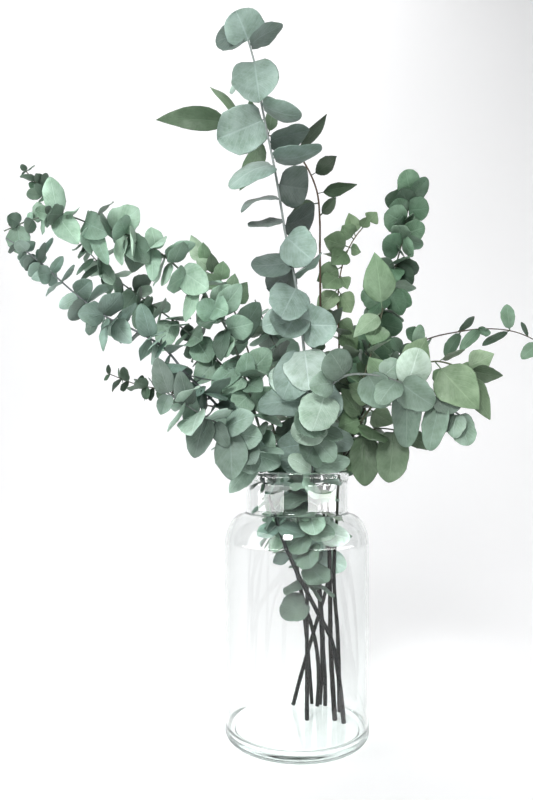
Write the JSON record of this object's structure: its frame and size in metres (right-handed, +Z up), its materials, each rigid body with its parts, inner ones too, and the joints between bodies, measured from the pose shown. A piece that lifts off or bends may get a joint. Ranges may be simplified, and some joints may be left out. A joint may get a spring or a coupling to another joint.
{
  "type": "eucalyptus branches in a glass bottle",
  "caption": "Mixed eucalyptus stems with round, small and pointed leaves, standing loosely in a clear wide-mouthed glass bottle vase.",
  "frame": {"origin": "middle of the flat underside of the glass bottle", "axes": "+Z up along the bottle's axis; the view in the picture looks along +Y, with +X to the right"},
  "size_m": [0.6384, 0.2839, 0.7973],
  "materials": {
    "clear_glass": "clear, smooth, colourless with a faint green-grey edge",
    "silver_leaf": "matte, waxy grey-green leaf with a paler underside, light grey-brown stem",
    "green_leaf": "satin, mid to dark green leaf, brown stem"
  },
  "bodies": {
    "root": {"glass_bottle": "clear_glass", "tall_silver_stem": "silver_leaf", "brown_stem": "green_leaf", "right_stem": "green_leaf", "pointed_stem": "green_leaf", "front_stem": "silver_leaf", "left_upper_stem": "silver_leaf", "left_lower_stem": "silver_leaf", "back_pointed_stem": "green_leaf", "back_stem": "silver_leaf"}
  },
  "joints": []
}
